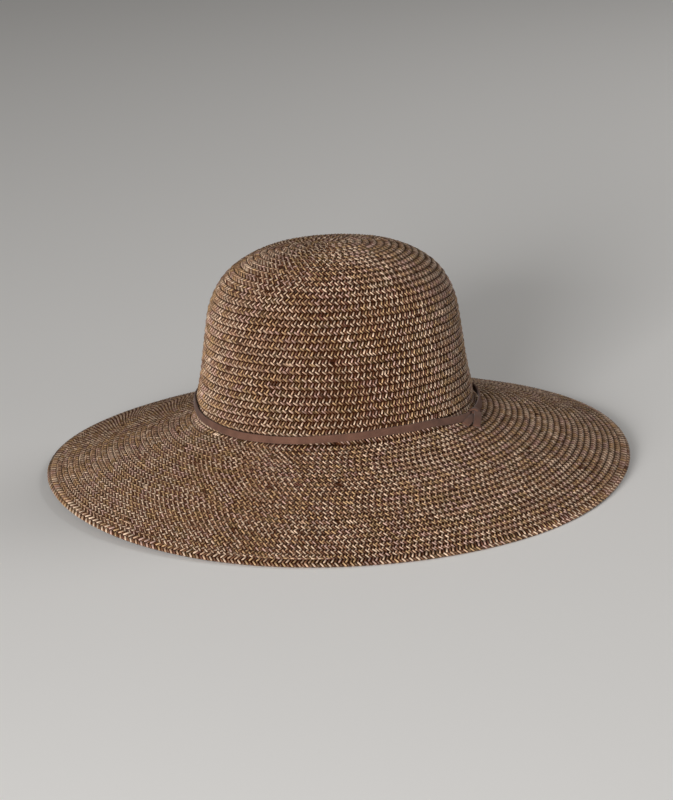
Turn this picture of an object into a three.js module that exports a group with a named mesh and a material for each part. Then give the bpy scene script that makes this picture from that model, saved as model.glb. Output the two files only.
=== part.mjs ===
// A wide brim sun hat, sewn from one long braid of paper straw that winds outwards from the crown's tip.
// Each row of braid laps over the row before it, and a suede lace is knotted round the crown's foot.
// All lengths are millimetres. The hat rests on its brim: +Z is up, it faces -Y, the wearer's left is +X.
// A place round the hat is a turn: 0 at the front, 0.25 at the wearer's left, 0.5 at the back.
import * as THREE from "three";

// The crown, measured on its outer face
const CROWN_LENGTH = 202.8; // front to back, at the break where crown and brim meet
const CROWN_WIDTH = 181.7; // side to side, at the break
const CROWN_HEIGHT = 112.9; // from the break to the tip
const LEAN_BACK = 1.7; // degrees
const LEAN_RIGHT = 1.6; // degrees, towards the wearer's right

// The brim, measured level from the break to its edge
const BREAK_HEIGHT = 39.4; // above the surface that the hat rests on
const BRIM_FRONT = 102.9;
const BRIM_BACK = 101.9;
const BRIM_LEFT = 106;
const BRIM_RIGHT = 98.7;
const BRIM_BOW = 0.8; // how far the brim's middle stands above a straight line
const EDGE_LIFT = 5.6; // how far the edge rises where the brim waves

// The braid
const WALL = 2.6; // two rows, one lapped on the other
const CROWN_PITCH = 4.95; // width of a row that shows on the crown
const BRIM_PITCH = 4.3; // the same on the brim, where the rows lap further
const ROW_DEPTH = 1.1; // how deep the seam between two rows lies below the rows' crests
const EDGE_ROW = 6.2; // width of the last row, which finishes the edge
const EDGE_THICKNESS = 2.8;
const EDGE_ROUND = 2.5; // from the outermost point of the edge in to its crest
const EDGE_FOOT = 1.8; // width of the flat underside that the hat rests on

// The lace
const LACE_WIDTH = 4.9;
const LACE_THICKNESS = 1.3;
const LACE_RISE = 4.5; // up the crown from the break to the middle of the lace
const LACE_STAND = 6; // how far the knot pulls the lace off the crown
const KNOT_TURN = 0.288;
const KNOT_LENGTH = 8.6;
const KNOT_HEIGHT = 5.2;
const KNOT_DEPTH = 5.6;
const TAIL_LENGTH = 12; // the longer tail

const GAP = 0.3; // between neighbouring pieces
const SIDES = 36; // of each ring round the hat

// The crown's outer face from the break to the tip, as shares of its half width and of its height
const CROWN_PROFILE = [
  { out: 1, up: 0 },
  { out: 0.984, up: 0.1 },
  { out: 0.946, up: 0.27 },
  { out: 0.912, up: 0.47 },
  { out: 0.87, up: 0.66 },
  { out: 0.772, up: 0.81 },
  { out: 0.615, up: 0.91 },
  { out: 0.417, up: 0.97 },
  { out: 0, up: 1 },
];

// The wave of the brim's edge: it rests on two long arcs and lifts between them, as shares of EDGE_LIFT
const EDGE_WAVE = [
  { turn: 0.07, lift: 0 },
  { turn: 0.21, lift: 0 },
  { turn: 0.39, lift: 1 },
  { turn: 0.57, lift: 0 },
  { turn: 0.71, lift: 0 },
  { turn: 0.89, lift: 0.82 },
];

// The rounded edge from its crest over to the foot, as shares of EDGE_ROUND and EDGE_THICKNESS
const EDGE_SECTION = [
  { inward: 1, up: 1 },
  { inward: 0.25, up: 0.8 },
  { inward: 0, up: 0.45 },
  { inward: 0.12, up: 0.15 },
  { inward: 0.4, up: 0 },
];

// The lace's way round the crown, as the share of a turn from the knot back to it, with how high it runs
// and how far it stands off the crown as shares of LACE_RISE and LACE_STAND
const LACE_ROUTE = [
  { way: 0, rise: 0.2, stand: 1 },
  { way: 0.045, rise: 0.5, stand: 0.65 },
  { way: 0.1, rise: 0.9, stand: 0.1 },
  { way: 0.14, rise: 1.2, stand: 0 },
  { way: 0.3, rise: 1.8, stand: 0 },
  { way: 0.5, rise: 2.3, stand: 0 },
  { way: 0.59, rise: 2.35, stand: 0 },
  { way: 0.624, rise: 1.6, stand: 0 },
  { way: 0.666, rise: 1.02, stand: 0 },
  { way: 0.719, rise: 0.71, stand: 0 },
  { way: 0.762, rise: 0.82, stand: 0 },
  { way: 0.819, rise: 1.02, stand: 0 },
  { way: 0.874, rise: 1.11, stand: 0 },
  { way: 0.919, rise: 0.93, stand: 0 },
  { way: 0.947, rise: 0.76, stand: 0.08 },
  { way: 0.981, rise: 0.5, stand: 0.4 },
  { way: 1, rise: 0.45, stand: 0.6 },
];

// The knot from end to end, as shares of its length and of its height and depth
const KNOT_SECTIONS = [
  { along: -0.5, size: 0.6 },
  { along: -0.36, size: 0.92 },
  { along: -0.14, size: 1 },
  { along: 0.04, size: 0.86 },
  { along: 0.22, size: 0.98 },
  { along: 0.4, size: 0.88 },
  { along: 0.5, size: 0.55 },
];

// The two cut ends of the lace, which run forwards from the knot over the brim. All columns are shares of
// TAIL_LENGTH: forward of the knot's middle, out from the break, and up off the brim, at start and end
const TAILS = [
  { name: "lace_tail_long", from: 0.46, out: 0.72, up: 0.2, to: 1.28, endOut: 1.22, endUp: 0.12 },
  { name: "lace_tail_short", from: 0.46, out: 0.66, up: 0, to: 1.35, endOut: 0.72, endUp: 0 },
];

// Smooth curve through one column of a table, at a value of its key column
function smooth(table, key, column, at) {
  const last = table.length - 1;
  let i = 0;
  while (i < last - 1 && table[i + 1][key] < at) {
    i += 1;
  }
  const slope = (k) => {
    const before = table[Math.max(k - 1, 0)];
    const after = table[Math.min(k + 1, last)];
    const chord = (after[column] - before[column]) / (after[key] - before[key]);
    return table[k].level?.[column] ?? chord;
  };
  const span = table[i + 1][key] - table[i][key];
  const t = (at - table[i][key]) / span;
  const rise = t * t * (3 - 2 * t);
  const leave = t * (1 - t) * (1 - t) * span * slope(i);
  const arrive = t * t * (1 - t) * span * slope(i + 1);
  return table[i][column] * (1 - rise) + table[i + 1][column] * rise + leave - arrive;
}

// Level direction out from the crown's middle at a turn
function direction(turn) {
  const angle = 2 * Math.PI * turn;
  return new THREE.Vector3(Math.sin(angle), -Math.cos(angle), 0);
}

// The crown's oval

const MEAN_RADIUS = Math.sqrt(CROWN_LENGTH * CROWN_WIDTH) / 2;

function crownRadius(turn) {
  const way = direction(turn);
  return 1 / Math.hypot((2 * way.x) / CROWN_WIDTH, (2 * way.y) / CROWN_LENGTH);
}

// The profile in millimetres, each row with its distance along the wall from the break
const wallRows = CROWN_PROFILE.map((row) => ({ out: row.out * MEAN_RADIUS, up: row.up * CROWN_HEIGHT }));
wallRows.forEach((row, i) => {
  const before = wallRows[i - 1];
  row.distance = i === 0 ? 0 : before.distance + Math.hypot(row.out - before.out, row.up - before.up);
});
wallRows.at(-1).level = { up: 0 };
const WALL_LENGTH = wallRows.at(-1).distance;

// A place on the crown in its own frame, whose origin is the middle of the break
function onCrown(turn, distance, offset) {
  const out = smooth(wallRows, "distance", "out", distance);
  const up = smooth(wallRows, "distance", "up", distance);
  const step = 0.01;
  const near = Math.min(distance, WALL_LENGTH - step);
  const run = smooth(wallRows, "distance", "out", near + step) - smooth(wallRows, "distance", "out", near);
  const rise = smooth(wallRows, "distance", "up", near + step) - smooth(wallRows, "distance", "up", near);
  const slant = Math.hypot(run, rise);
  const radius = (out + (rise / slant) * offset) * (crownRadius(turn) / MEAN_RADIUS);
  return direction(turn).multiplyScalar(radius).setZ(up - (run / slant) * offset);
}

// The crown's frame in the hat: it stands on the break, leans, and is set so that the brim is centred
const crownMiddle = new THREE.Vector3(
  (BRIM_RIGHT - BRIM_LEFT) / 2,
  (BRIM_FRONT - BRIM_BACK) / 2,
  BREAK_HEIGHT,
);
const crownLean = new THREE.Euler(
  THREE.MathUtils.degToRad(-LEAN_BACK),
  THREE.MathUtils.degToRad(-LEAN_RIGHT),
  0,
  "YXZ",
);

function toHat(place) {
  return place.clone().applyEuler(crownLean).add(crownMiddle);
}

// Surfaces from rings of points

// Closed mesh over a row of rings; the ends are capped with fans, or joined when the row comes back round
function skin(rings, joined) {
  const sides = rings[0].length;
  const points = rings.flat();
  const faces = [];
  const count = joined ? rings.length : rings.length - 1;
  for (let r = 0; r < count; r += 1) {
    for (let s = 0; s < sides; s += 1) {
      const a = r * sides + s;
      const b = r * sides + ((s + 1) % sides);
      const c = ((r + 1) % rings.length) * sides + s;
      const d = ((r + 1) % rings.length) * sides + ((s + 1) % sides);
      faces.push(a, c, b, b, c, d);
    }
  }
  if (!joined) {
    for (const [ring, first] of [[0, true], [rings.length - 1, false]]) {
      const middle = new THREE.Vector3();
      rings[ring].forEach((point) => middle.addScaledVector(point, 1 / sides));
      points.push(middle);
      for (let s = 0; s < sides; s += 1) {
        const a = ring * sides + s;
        const b = ring * sides + ((s + 1) % sides);
        faces.push(points.length - 1, first ? a : b, first ? b : a);
      }
    }
  }
  const geometry = new THREE.BufferGeometry().setFromPoints(points);
  geometry.setIndex(faces);
  geometry.computeVertexNormals();
  return geometry;
}

function ringRound(place) {
  return Array.from({ length: SIDES }, (_, s) => place(s / SIDES));
}

// Crown: rows of braid from the tip down to the break, then the smoother inside back up to the tip

const CROWN_ROWS = Math.round(WALL_LENGTH / CROWN_PITCH);
const INSIDE_RINGS = 12;

function crownGeometry() {
  const rings = [];
  const halfRow = WALL_LENGTH / CROWN_ROWS / 2;
  const tipDisc = WALL_LENGTH - halfRow;
  rings.push(ringRound((turn) => onCrown(turn, tipDisc, 0)));
  for (let row = 1; row < CROWN_ROWS; row += 1) {
    const seam = WALL_LENGTH * (1 - row / CROWN_ROWS);
    rings.push(ringRound((turn) => onCrown(turn, seam, -ROW_DEPTH)));
    rings.push(ringRound((turn) => onCrown(turn, seam - halfRow, 0)));
  }
  const foot = (inset) => (turn) => onCrown(turn, 0, 0).multiplyScalar(1 - inset / MEAN_RADIUS);
  rings.push(ringRound(foot(ROW_DEPTH)));
  rings.push(ringRound(foot(WALL)));
  for (let i = 1; i < INSIDE_RINGS; i += 1) {
    const distance = (tipDisc * i) / (INSIDE_RINGS - 1);
    rings.push(ringRound((turn) => onCrown(turn, distance, -WALL)));
  }
  return skin(rings, false);
}

// Brim: from under the crown's foot out to the last row

function brimWidth(turn) {
  const angle = 2 * Math.PI * turn;
  const mean = (BRIM_FRONT + BRIM_BACK + BRIM_LEFT + BRIM_RIGHT) / 4;
  const toLeft = ((BRIM_LEFT - BRIM_RIGHT) / 2) * Math.sin(angle);
  const toFront = ((BRIM_FRONT - BRIM_BACK) / 2) * Math.cos(angle);
  const sides = ((BRIM_FRONT + BRIM_BACK - BRIM_LEFT - BRIM_RIGHT) / 4) * Math.cos(2 * angle);
  return mean + toLeft + toFront + sides;
}

function edgeLift(turn) {
  const place = ((turn % 1) + 1) % 1;
  const rows = [...EDGE_WAVE, { ...EDGE_WAVE[0], turn: EDGE_WAVE[0].turn + 1 }];
  const at = place < rows[0].turn ? place + 1 : place;
  const i = rows.findIndex((row, k) => k > 0 && at <= row.turn) - 1;
  const t = (at - rows[i].turn) / (rows[i + 1].turn - rows[i].turn);
  const share = THREE.MathUtils.lerp(rows[i].lift, rows[i + 1].lift, t * t * (3 - 2 * t));
  return share * EDGE_LIFT;
}

// A place near the edge: how far in from its outermost point, and how far up from its foot
function onEdge(turn, inward, up) {
  const middle = crownMiddle.clone().setZ(0);
  const radius = crownRadius(turn) + brimWidth(turn) - inward;
  return middle.addScaledVector(direction(turn), radius).setZ(edgeLift(turn) + up);
}

// A place on the brim's upper face, by its share of the way from the break to the crest of the edge
function onBrim(turn, share, offset) {
  const inner = toHat(onCrown(turn, 0, 0));
  const outer = onEdge(turn, EDGE_ROUND, EDGE_THICKNESS);
  const way = outer.clone().sub(inner);
  const level = Math.hypot(way.x, way.y);
  const normal = direction(turn).multiplyScalar(-way.z).setZ(level).normalize();
  const place = inner.addScaledVector(way, share).addScaledVector(normal, offset);
  place.z += 4 * BRIM_BOW * share * (1 - share);
  return place;
}

const BRIM_SLANT = onBrim(0, 0, 0).distanceTo(onBrim(0, 1, 0));
const EDGE_START = 1 - (EDGE_ROW - EDGE_ROUND) / BRIM_SLANT; // where the last row laps on, as a share
const BRIM_ROWS = Math.round((BRIM_SLANT * EDGE_START) / BRIM_PITCH);
const UNDERSIDE_RINGS = 6;

function brimGeometry() {
  const rings = [];
  const inset = 1 - WALL / MEAN_RADIUS;
  const seat = (turn, depth) => {
    const place = onCrown(turn, 0, 0).multiplyScalar(inset);
    return toHat(place.setZ(-depth));
  };
  rings.push(ringRound((turn) => seat(turn, GAP)));
  rings.push(ringRound((turn) => toHat(onCrown(turn, 0, 0).setZ(-GAP))));
  const halfRow = EDGE_START / BRIM_ROWS / 2;
  rings.push(ringRound((turn) => onBrim(turn, halfRow, 0)));
  for (let row = 1; row < BRIM_ROWS; row += 1) {
    const seam = (EDGE_START * row) / BRIM_ROWS;
    rings.push(ringRound((turn) => onBrim(turn, seam, -ROW_DEPTH)));
    rings.push(ringRound((turn) => onBrim(turn, seam + halfRow, 0)));
  }
  const end = EDGE_START - GAP / BRIM_SLANT;
  rings.push(ringRound((turn) => onBrim(turn, end, -ROW_DEPTH)));
  for (let i = 0; i < UNDERSIDE_RINGS; i += 1) {
    const share = end * (1 - i / (UNDERSIDE_RINGS - 1));
    rings.push(ringRound((turn) => onBrim(turn, share, -WALL)));
  }
  rings.push(ringRound((turn) => seat(turn, GAP + WALL)));
  return skin(rings, true);
}

// Brim edge: the last row, rounded over, with a flat foot

function edgeGeometry() {
  const rings = [ringRound((turn) => onBrim(turn, EDGE_START, -ROW_DEPTH))];
  for (const { inward, up } of EDGE_SECTION) {
    rings.push(ringRound((turn) => onEdge(turn, inward * EDGE_ROUND, up * EDGE_THICKNESS)));
  }
  const footEnd = EDGE_SECTION.at(-1).inward * EDGE_ROUND + EDGE_FOOT;
  rings.push(ringRound((turn) => onEdge(turn, footEnd, 0)));
  rings.push(ringRound((turn) => onBrim(turn, EDGE_START, -WALL)));
  return skin(rings, true);
}

// Lace: a flat strip round the foot of the crown, from one end of the knot to the other

// The lace's middle, with its outward, forward and upward sides, at a share of the way round from the knot
function laceFrame(way) {
  const turn = KNOT_TURN + way;
  const distance = smooth(LACE_ROUTE, "way", "rise", way) * LACE_RISE;
  const stand = smooth(LACE_ROUTE, "way", "stand", way) * LACE_STAND;
  const clear = GAP + LACE_THICKNESS / 2;
  const middle = toHat(onCrown(turn, distance, clear + Math.max(stand, 0)));
  const out = toHat(onCrown(turn, distance, 1)).sub(toHat(onCrown(turn, distance, 0))).normalize();
  const step = 0.002;
  const ahead = toHat(onCrown(turn + step, distance, 0));
  const along = ahead.sub(toHat(onCrown(turn - step, distance, 0))).normalize();
  return { middle, out, along, up: new THREE.Vector3().crossVectors(along, out).negate().normalize() };
}

// Four corners of a flat strip's section, in order round it
function stripSection(middle, out, up) {
  const corners = [[-1, -1], [1, -1], [1, 1], [-1, 1]];
  return corners.map(([o, u]) =>
    middle.clone().addScaledVector(out, (o * LACE_THICKNESS) / 2).addScaledVector(up, (u * LACE_WIDTH) / 2),
  );
}

const LACE_STEPS = 56;

function laceGeometry() {
  const meanLength = 2 * Math.PI * MEAN_RADIUS;
  const knotHalf = (KNOT_LENGTH / 2 + GAP) / meanLength; // as a share of a turn
  const rings = [];
  for (let i = 0; i <= LACE_STEPS; i += 1) {
    const frame = laceFrame(knotHalf + (1 - 2 * knotHalf) * (i / LACE_STEPS));
    rings.push(stripSection(frame.middle, frame.out, frame.up));
  }
  return skin(rings, false);
}

// Knot: a rounded lump with a waist where the lace wraps over itself

const KNOT_SIDES = 10;

function knotGeometry() {
  const frame = laceFrame(0);
  const rings = KNOT_SECTIONS.map((section) => {
    const centre = frame.middle.clone().addScaledVector(frame.along, section.along * KNOT_LENGTH);
    return Array.from({ length: KNOT_SIDES }, (_, s) => {
      const angle = (2 * Math.PI * s) / KNOT_SIDES;
      return centre
        .clone()
        .addScaledVector(frame.out, (Math.cos(angle) * section.size * KNOT_DEPTH) / 2)
        .addScaledVector(frame.up, (Math.sin(angle) * section.size * KNOT_HEIGHT) / 2);
    });
  });
  return skin(rings, false);
}

// Tails: the lace's two cut ends

const TAIL_STEPS = 5;

function tailGeometry(tail) {
  const place = (t) => {
    const forward = THREE.MathUtils.lerp(tail.from, tail.to, t) * TAIL_LENGTH;
    const out = THREE.MathUtils.lerp(tail.out, tail.endOut, t) * TAIL_LENGTH;
    const up = THREE.MathUtils.lerp(tail.up, tail.endUp, t) * TAIL_LENGTH;
    const turn = KNOT_TURN - forward / (2 * Math.PI * (crownRadius(KNOT_TURN) + out));
    const share = out / (brimWidth(turn) - EDGE_ROUND);
    return (more) => onBrim(turn, share, GAP + LACE_THICKNESS / 2 + up + more);
  };
  const heading = place(1)(0).sub(place(0)(0));
  const rings = [];
  for (let i = 0; i <= TAIL_STEPS; i += 1) {
    const at = place(i / TAIL_STEPS);
    const normal = at(1).sub(at(0)).normalize();
    const side = new THREE.Vector3().crossVectors(normal, heading).normalize();
    rings.push(stripSection(at(0), normal, side));
  }
  return skin(rings, false);
}

// The hat

const straw = new THREE.MeshStandardMaterial({ color: 0x7f6350, roughness: 0.75, metalness: 0 });
const edgeStraw = new THREE.MeshStandardMaterial({ color: 0x8a6c57, roughness: 0.75, metalness: 0 });
const suede = new THREE.MeshStandardMaterial({ color: 0x735548, roughness: 0.9, metalness: 0 });

const group = new THREE.Group();

function add(name, geometry, material) {
  const mesh = new THREE.Mesh(geometry, material);
  mesh.name = name;
  group.add(mesh);
  return mesh;
}

const crown = add("crown", crownGeometry(), straw);
crown.rotation.copy(crownLean);
crown.position.copy(crownMiddle);
add("brim", brimGeometry(), straw);
add("brim_edge", edgeGeometry(), edgeStraw);
add("hat_lace", laceGeometry(), suede);
add("lace_knot", knotGeometry(), suede);
for (const tail of TAILS) {
  add(tail.name, tailGeometry(tail), suede);
}

export default group;
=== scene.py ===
# %% [markdown]
# # A wide brim straw hat
#
# The hat is one long, narrow braid of paper straw, sewn to itself in a spiral that starts at the crown's
# tip and ends at the brim's edge. A suede lace is knotted round the foot of the crown.
#
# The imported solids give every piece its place. They are plain ridged shells, so each straw piece here is
# built over its solid's form as the braid itself: a thin spiral shell, and on it the straws that show.

import math

import bmesh
import bpy
import numpy as np
from mathutils import Matrix, Vector


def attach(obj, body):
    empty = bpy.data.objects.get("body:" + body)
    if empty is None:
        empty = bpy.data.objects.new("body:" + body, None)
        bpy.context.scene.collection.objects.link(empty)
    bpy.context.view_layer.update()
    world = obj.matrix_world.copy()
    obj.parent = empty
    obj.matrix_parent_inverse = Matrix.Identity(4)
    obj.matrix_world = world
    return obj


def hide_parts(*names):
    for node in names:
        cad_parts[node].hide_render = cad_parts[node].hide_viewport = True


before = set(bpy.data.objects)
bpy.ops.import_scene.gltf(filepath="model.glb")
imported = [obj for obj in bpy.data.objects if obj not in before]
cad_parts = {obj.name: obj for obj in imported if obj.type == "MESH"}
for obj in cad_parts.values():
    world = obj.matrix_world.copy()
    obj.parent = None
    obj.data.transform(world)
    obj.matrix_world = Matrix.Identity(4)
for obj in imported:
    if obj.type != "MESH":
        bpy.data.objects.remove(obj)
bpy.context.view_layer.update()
bpy.ops.object.select_all(action="DESELECT")
print("frame:", sorted(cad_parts))

# %% [markdown]
# ## Camera, floor and light
#
# The camera stands where the photographer stood: well back, a little above the brim, and to the left of
# the hat's front as the wearer knows it. It was worked out from the ovals of the brim and the lace, so its
# numbers are angles and a distance. The light is a broad soft box, low and near the camera's left, with
# weaker ones on the right and behind, and a faint sky, as in a studio.

# %% Sizes in millimetres become Blender's metres
MM = 0.001
BREAK_MIDDLE = Vector((-3.65, 0.5, 39.4)) * MM

# %% Camera
CAMERA_TURN = math.radians(34.19)
CAMERA_RISE = math.radians(17.35)
CAMERA_ROLL = math.radians(-1.14)
CAMERA_DISTANCE = 1671 * MM
CAMERA_LENS = 111.5
AIM_RIGHT = 0.74 * MM
AIM_UP = 3.45 * MM


def add_camera():
    """The camera looks a little past the hat's middle, with the photograph's slight roll."""
    back = Vector((
        math.sin(CAMERA_TURN) * math.cos(CAMERA_RISE),
        -math.cos(CAMERA_TURN) * math.cos(CAMERA_RISE),
        math.sin(CAMERA_RISE),
    ))
    level = back.to_track_quat("Z", "Y")
    turned = level @ Matrix.Rotation(CAMERA_ROLL, 4, "Z").to_quaternion()
    aim = BREAK_MIDDLE + turned @ Vector((AIM_RIGHT, AIM_UP, 0))
    place = BREAK_MIDDLE + back * CAMERA_DISTANCE
    final = (place - aim).to_track_quat("Z", "Y") @ Matrix.Rotation(CAMERA_ROLL, 4, "Z").to_quaternion()
    camera = bpy.data.cameras.new("camera")
    camera.lens = CAMERA_LENS
    camera.sensor_width = 36
    camera.clip_start, camera.clip_end = 0.05, 20
    held = bpy.data.objects.new("camera", camera)
    held.location = place
    held.rotation_mode = "QUATERNION"
    held.rotation_quaternion = final
    bpy.context.scene.collection.objects.link(held)
    bpy.context.scene.camera = held


add_camera()
print("camera:", tuple(round(c, 3) for c in bpy.context.scene.camera.location))


# %% Helpers for materials: a hex colour made linear, and one call that adds a node
def linear(hex_colour, alpha=1.0):
    parts = [int(hex_colour[i : i + 2], 16) / 255 for i in (1, 3, 5)]
    bright = [c / 12.92 if c <= 0.04045 else ((c + 0.055) / 1.055) ** 2.4 for c in parts]
    return (*bright, alpha)


def new_material(name):
    material = bpy.data.materials.new(name)
    material.use_nodes = True
    material.node_tree.nodes.clear()
    return material


def add_node(material, kind, links=None, **settings):
    """Adds a node. links feed its inputs from (node, output) pairs; settings are its own or its inputs'."""
    node = material.node_tree.nodes.new(kind)
    for key, value in settings.items():
        if hasattr(node, key):
            setattr(node, key, value)
        else:
            node.inputs[key.replace("_", " ")].default_value = value
    for key, (source, output) in (links or {}).items():
        material.node_tree.links.new(source.outputs[output], node.inputs[key])
    return node


def sums_for(material):
    """Gives a function that adds a Math node, whose terms are numbers or (node, output) pairs."""

    def work_out(operation, *terms):
        node = add_node(material, "ShaderNodeMath", operation=operation)
        for i, term in enumerate(terms):
            if isinstance(term, tuple):
                material.node_tree.links.new(term[0].outputs[term[1]], node.inputs[i])
            else:
                node.inputs[i].default_value = term
        return node, "Value"

    return work_out


def finish_material(material, shader):
    add_node(material, "ShaderNodeOutputMaterial", {"Surface": (shader, "BSDF")})
    return material


# %% Floor
FLOOR_COLOUR = "#f1efec"
FLOOR_SIZE = 12


def painted_floor():
    material = new_material("pale_matt_paint")
    shader = add_node(material, "ShaderNodeBsdfPrincipled", Base_Color=linear(FLOOR_COLOUR), Roughness=0.9)
    return finish_material(material, shader)


bpy.ops.mesh.primitive_plane_add(size=FLOOR_SIZE, location=(0, 0, 0))
floor = bpy.context.object
floor.name = "floor"
floor.data.materials.append(painted_floor())

# %% Lights: where each stands round the hat, how large it is and how bright
SOFT_BOXES = [
    {"name": "key", "turn": 15, "rise": 11, "distance": 3.0, "size": 1.0, "watts": 122},
    {"name": "fill", "turn": 95, "rise": 14, "distance": 3.0, "size": 1.6, "watts": 4},
    {"name": "back", "turn": 150, "rise": 38, "distance": 3.0, "size": 1.5, "watts": 27},
]
SKY_COLOUR = "#fbf8f4"
SKY_STRENGTH = 0.11


def add_soft_box(name, turn, rise, distance, size, watts):
    lamp = bpy.data.lights.new(name, "AREA")
    lamp.shape = "SQUARE"
    lamp.size = size
    lamp.energy = watts
    a, e = math.radians(turn), math.radians(rise)
    back = Vector((math.sin(a) * math.cos(e), -math.cos(a) * math.cos(e), math.sin(e)))
    held = bpy.data.objects.new(name, lamp)
    held.location = BREAK_MIDDLE + back * distance
    held.rotation_mode = "QUATERNION"
    held.rotation_quaternion = back.to_track_quat("Z", "Y")
    bpy.context.scene.collection.objects.link(held)


for box in SOFT_BOXES:
    add_soft_box(**box)

sky = bpy.data.worlds.new("studio")
sky.use_nodes = True
sky.node_tree.nodes["Background"].inputs["Color"].default_value = linear(SKY_COLOUR)
sky.node_tree.nodes["Background"].inputs["Strength"].default_value = SKY_STRENGTH
bpy.context.scene.world = sky
bpy.context.scene.view_settings.view_transform = "Standard"
print("lights:", [box["name"] for box in SOFT_BOXES])

# %% [markdown]
# ## The form of the hat
#
# Everything of straw follows one face: the crown's outer face from its tip down to the break, where crown
# and brim meet, and on over the brim to its edge. A place on it is a turn, 0 at the front and 0.25 at the
# wearer's left, a number of braid rows counted from the tip, and how far it lies off the face. The sizes
# are the solid's own, so the braid lies where the solid is.

# %% Sizes of the form, in millimetres and degrees
CROWN_LENGTH = 202.8
CROWN_WIDTH = 181.7
CROWN_HEIGHT = 112.9
LEAN_BACK = 1.7
LEAN_RIGHT = 1.6
BREAK_HEIGHT = 39.4
BRIM_FRONT, BRIM_BACK, BRIM_LEFT, BRIM_RIGHT = 102.9, 101.9, 106, 98.7
BRIM_BOW = 0.8
EDGE_LIFT = 5.6
WALL = 2.6
CROWN_PITCH = 4.95
BRIM_PITCH = 4.3
EDGE_ROW = 6.2
EDGE_THICKNESS = 2.8
EDGE_ROUND = 2.5
EDGE_FOOT = 1.8

# The crown from the break to the tip, as shares of its half width and of its height
CROWN_OUT = np.array([1, 0.984, 0.946, 0.912, 0.87, 0.772, 0.615, 0.417, 0])
CROWN_UP = np.array([0, 0.1, 0.27, 0.47, 0.66, 0.81, 0.91, 0.97, 1])

# The wave of the brim's edge, as turns and shares of EDGE_LIFT
WAVE_TURN = np.array([0.07, 0.21, 0.39, 0.57, 0.71, 0.89, 1.07])
WAVE_LIFT = np.array([0, 0, 1, 0, 0, 0.82, 0])


# %% A smooth curve through the points of a table
def smooth(keys, values, at, end_slope=None):
    ends = np.arange(len(keys))
    before, after = np.maximum(ends - 1, 0), np.minimum(ends + 1, len(keys) - 1)
    slopes = (values[after] - values[before]) / (keys[after] - keys[before])
    if end_slope is not None:
        slopes[-1] = end_slope
    i = np.clip(np.searchsorted(keys, at) - 1, 0, len(keys) - 2)
    span = keys[i + 1] - keys[i]
    t = (at - keys[i]) / span
    rise = t * t * (3 - 2 * t)
    leave = t * (1 - t) ** 2 * span * slopes[i]
    arrive = t * t * (1 - t) * span * slopes[i + 1]
    return values[i] * (1 - rise) + values[i + 1] * rise + leave - arrive


def ease(t):
    t = np.clip(t, 0, 1)
    return t * t * (3 - 2 * t)


# %% The crown's face
MEAN_RADIUS = math.sqrt(CROWN_LENGTH * CROWN_WIDTH) / 2
wall_out = CROWN_OUT * MEAN_RADIUS
wall_up = CROWN_UP * CROWN_HEIGHT
wall_way = np.concatenate([[0], np.cumsum(np.hypot(np.diff(wall_out), np.diff(wall_up)))])
WALL_LENGTH = wall_way[-1]
CROWN_ROWS = round(WALL_LENGTH / CROWN_PITCH)
crown_lean = np.array(
    Matrix.Rotation(math.radians(-LEAN_RIGHT), 3, "Y") @ Matrix.Rotation(math.radians(-LEAN_BACK), 3, "X")
)
break_middle = np.array([(BRIM_RIGHT - BRIM_LEFT) / 2, (BRIM_FRONT - BRIM_BACK) / 2, BREAK_HEIGHT])


def outward(turn):
    angle = 2 * np.pi * turn
    return np.stack([np.sin(angle), -np.cos(angle), np.zeros_like(angle)], -1)


def crown_radius(turn):
    way = outward(turn)
    return 1 / np.hypot(2 * way[..., 0] / CROWN_WIDTH, 2 * way[..., 1] / CROWN_LENGTH)


def on_crown(turn, distance, offset):
    """Places on the crown, at a distance up its wall from the break and an offset off its face."""
    step = 0.01
    near = np.minimum(distance, WALL_LENGTH - step)
    out = smooth(wall_way, wall_out, distance)
    up = smooth(wall_way, wall_up, distance, 0)
    run = smooth(wall_way, wall_out, near + step) - smooth(wall_way, wall_out, near)
    rise = smooth(wall_way, wall_up, near + step, 0) - smooth(wall_way, wall_up, near, 0)
    slant = np.hypot(run, rise)
    radius = (out + rise / slant * offset) * crown_radius(turn) / MEAN_RADIUS
    place = outward(turn) * radius[..., None]
    place[..., 2] = up - run / slant * offset
    return place @ crown_lean.T + break_middle


print(f"crown: {CROWN_ROWS} rows of braid on a wall {WALL_LENGTH:.0f} mm long")


# %% The brim's face, out to the crest of its edge
def brim_width(turn):
    angle = 2 * np.pi * turn
    mean = (BRIM_FRONT + BRIM_BACK + BRIM_LEFT + BRIM_RIGHT) / 4
    to_left = (BRIM_LEFT - BRIM_RIGHT) / 2 * np.sin(angle)
    to_front = (BRIM_FRONT - BRIM_BACK) / 2 * np.cos(angle)
    sides = (BRIM_FRONT + BRIM_BACK - BRIM_LEFT - BRIM_RIGHT) / 4 * np.cos(2 * angle)
    return mean + to_left + to_front + sides


def edge_lift(turn):
    at = np.mod(turn, 1)
    at = np.where(at < WAVE_TURN[0], at + 1, at)
    i = np.clip(np.searchsorted(WAVE_TURN, at) - 1, 0, len(WAVE_TURN) - 2)
    t = ease((at - WAVE_TURN[i]) / (WAVE_TURN[i + 1] - WAVE_TURN[i]))
    return (WAVE_LIFT[i] + (WAVE_LIFT[i + 1] - WAVE_LIFT[i]) * t) * EDGE_LIFT


def on_edge(turn, inward, up):
    """Places near the edge, by how far in from the outermost point and up from the foot they are."""
    place = outward(turn) * (crown_radius(turn) + brim_width(turn) - inward)[..., None]
    place[..., :2] += break_middle[:2]
    place[..., 2] = edge_lift(turn) + up
    return place


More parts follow.
